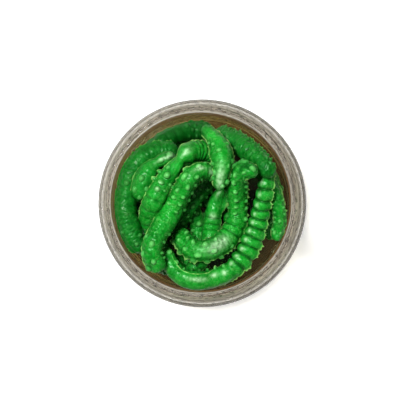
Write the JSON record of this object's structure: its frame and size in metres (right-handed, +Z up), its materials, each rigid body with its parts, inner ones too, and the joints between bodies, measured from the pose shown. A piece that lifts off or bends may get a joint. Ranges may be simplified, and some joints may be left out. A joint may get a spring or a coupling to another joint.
{
  "type": "tub of soft plastic fishing worms",
  "caption": "Open clear screw-neck tub filled with separate ribbed green soft plastic fishing worms lying in a little amber attractant oil.",
  "frame": {"origin": "centre of the underside of the tub, on the surface it stands on", "axes": "+Z up along the tub's axis; +Y is away from a person standing in front, +X to their right"},
  "size_m": [0.066, 0.066, 0.04],
  "materials": {
    "clear_plastic": "gloss",
    "oil": "wet",
    "worm_green": "wet gloss"
  },
  "bodies": {
    "tub": {"tub": "clear_plastic", "oil": "oil"},
    "worm_01": {"worm_01": "worm_green"},
    "worm_02": {"worm_02": "worm_green"},
    "worm_03": {"worm_03": "worm_green"},
    "worm_04": {"worm_04": "worm_green"},
    "worm_05": {"worm_05": "worm_green"},
    "worm_06": {"worm_06": "worm_green"},
    "worm_07": {"worm_07": "worm_green"},
    "worm_08": {"worm_08": "worm_green"},
    "worm_09": {"worm_09": "worm_green"},
    "worm_10": {"worm_10": "worm_green"},
    "worm_11": {"worm_11": "worm_green"},
    "worm_12": {"worm_12": "worm_green"},
    "worm_13": {"worm_13": "worm_green"},
    "worm_14": {"worm_14": "worm_green"},
    "worm_15": {"worm_15": "worm_green"},
    "worm_16": {"worm_16": "worm_green"},
    "worm_17": {"worm_17": "worm_green"},
    "worm_18": {"worm_18": "worm_green"},
    "worm_19": {"worm_19": "worm_green"},
    "worm_20": {"worm_20": "worm_green"},
    "worm_21": {"worm_21": "worm_green"},
    "worm_22": {"worm_22": "worm_green"}
  },
  "joints": [
    {"name": "worm_01_lift", "type": "slide", "parent": "tub", "child": "worm_01", "axis": [0, 0, 1], "range_m": [0, 0.0501]},
    {"name": "worm_02_lift", "type": "slide", "parent": "tub", "child": "worm_02", "axis": [0, 0, 1], "range_m": [0, 0.0525]},
    {"name": "worm_03_lift", "type": "slide", "parent": "tub", "child": "worm_03", "axis": [0, 0, 1], "range_m": [0, 0.0549]},
    {"name": "worm_04_lift", "type": "slide", "parent": "tub", "child": "worm_04", "axis": [0, 0, 1], "range_m": [0, 0.0572]},
    {"name": "worm_05_lift", "type": "slide", "parent": "tub", "child": "worm_05", "axis": [0, 0, 1], "range_m": [0, 0.0596]},
    {"name": "worm_06_lift", "type": "slide", "parent": "tub", "child": "worm_06", "axis": [0, 0, 1], "range_m": [0, 0.062]},
    {"name": "worm_07_lift", "type": "slide", "parent": "tub", "child": "worm_07", "axis": [0, 0, 1], "range_m": [0, 0.0644]},
    {"name": "worm_08_lift", "type": "slide", "parent": "tub", "child": "worm_08", "axis": [0, 0, 1], "range_m": [0, 0.0668]},
    {"name": "worm_09_lift", "type": "slide", "parent": "tub", "child": "worm_09", "axis": [0, 0, 1], "range_m": [0, 0.0691]},
    {"name": "worm_10_lift", "type": "slide", "parent": "tub", "child": "worm_10", "axis": [0, 0, 1], "range_m": [0, 0.0715]},
    {"name": "worm_11_lift", "type": "slide", "parent": "tub", "child": "worm_11", "axis": [0, 0, 1], "range_m": [0, 0.0739]},
    {"name": "worm_12_lift", "type": "slide", "parent": "tub", "child": "worm_12", "axis": [0, 0, 1], "range_m": [0, 0.0763]},
    {"name": "worm_13_lift", "type": "slide", "parent": "tub", "child": "worm_13", "axis": [0, 0, 1], "range_m": [0, 0.0787]},
    {"name": "worm_14_lift", "type": "slide", "parent": "tub", "child": "worm_14", "axis": [0, 0, 1], "range_m": [0, 0.0811]},
    {"name": "worm_15_lift", "type": "slide", "parent": "tub", "child": "worm_15", "axis": [0, 0, 1], "range_m": [0, 0.0834]},
    {"name": "worm_16_lift", "type": "slide", "parent": "tub", "child": "worm_16", "axis": [0, 0, 1], "range_m": [0, 0.0858]},
    {"name": "worm_17_lift", "type": "slide", "parent": "tub", "child": "worm_17", "axis": [0, 0, 1], "range_m": [0, 0.0882]},
    {"name": "worm_18_lift", "type": "slide", "parent": "tub", "child": "worm_18", "axis": [0, 0, 1], "range_m": [0, 0.0906]},
    {"name": "worm_19_lift", "type": "slide", "parent": "tub", "child": "worm_19", "axis": [0, 0, 1], "range_m": [0, 0.093]},
    {"name": "worm_20_lift", "type": "slide", "parent": "tub", "child": "worm_20", "axis": [0, 0, 1], "range_m": [0, 0.0953]},
    {"name": "worm_21_lift", "type": "slide", "parent": "tub", "child": "worm_21", "axis": [0, 0, 1], "range_m": [0, 0.0977]},
    {"name": "worm_22_lift", "type": "slide", "parent": "tub", "child": "worm_22", "axis": [0, 0, 1], "range_m": [0, 0.1]}
  ],
  "couplings": [
    {"joint": "worm_01_lift", "follows": "worm_22_lift", "ratio": 0.5},
    {"joint": "worm_02_lift", "follows": "worm_22_lift", "ratio": 0.524},
    {"joint": "worm_03_lift", "follows": "worm_22_lift", "ratio": 0.548},
    {"joint": "worm_04_lift", "follows": "worm_22_lift", "ratio": 0.571},
    {"joint": "worm_05_lift", "follows": "worm_22_lift", "ratio": 0.595},
    {"joint": "worm_06_lift", "follows": "worm_22_lift", "ratio": 0.619},
    {"joint": "worm_07_lift", "follows": "worm_22_lift", "ratio": 0.643},
    {"joint": "worm_08_lift", "follows": "worm_22_lift", "ratio": 0.667},
    {"joint": "worm_09_lift", "follows": "worm_22_lift", "ratio": 0.69},
    {"joint": "worm_10_lift", "follows": "worm_22_lift", "ratio": 0.714},
    {"joint": "worm_11_lift", "follows": "worm_22_lift", "ratio": 0.738},
    {"joint": "worm_12_lift", "follows": "worm_22_lift", "ratio": 0.762},
    {"joint": "worm_13_lift", "follows": "worm_22_lift", "ratio": 0.786},
    {"joint": "worm_14_lift", "follows": "worm_22_lift", "ratio": 0.81},
    {"joint": "worm_15_lift", "follows": "worm_22_lift", "ratio": 0.833},
    {"joint": "worm_16_lift", "follows": "worm_22_lift", "ratio": 0.857},
    {"joint": "worm_17_lift", "follows": "worm_22_lift", "ratio": 0.881},
    {"joint": "worm_18_lift", "follows": "worm_22_lift", "ratio": 0.905},
    {"joint": "worm_19_lift", "follows": "worm_22_lift", "ratio": 0.929},
    {"joint": "worm_20_lift", "follows": "worm_22_lift", "ratio": 0.952},
    {"joint": "worm_21_lift", "follows": "worm_22_lift", "ratio": 0.976}
  ]
}
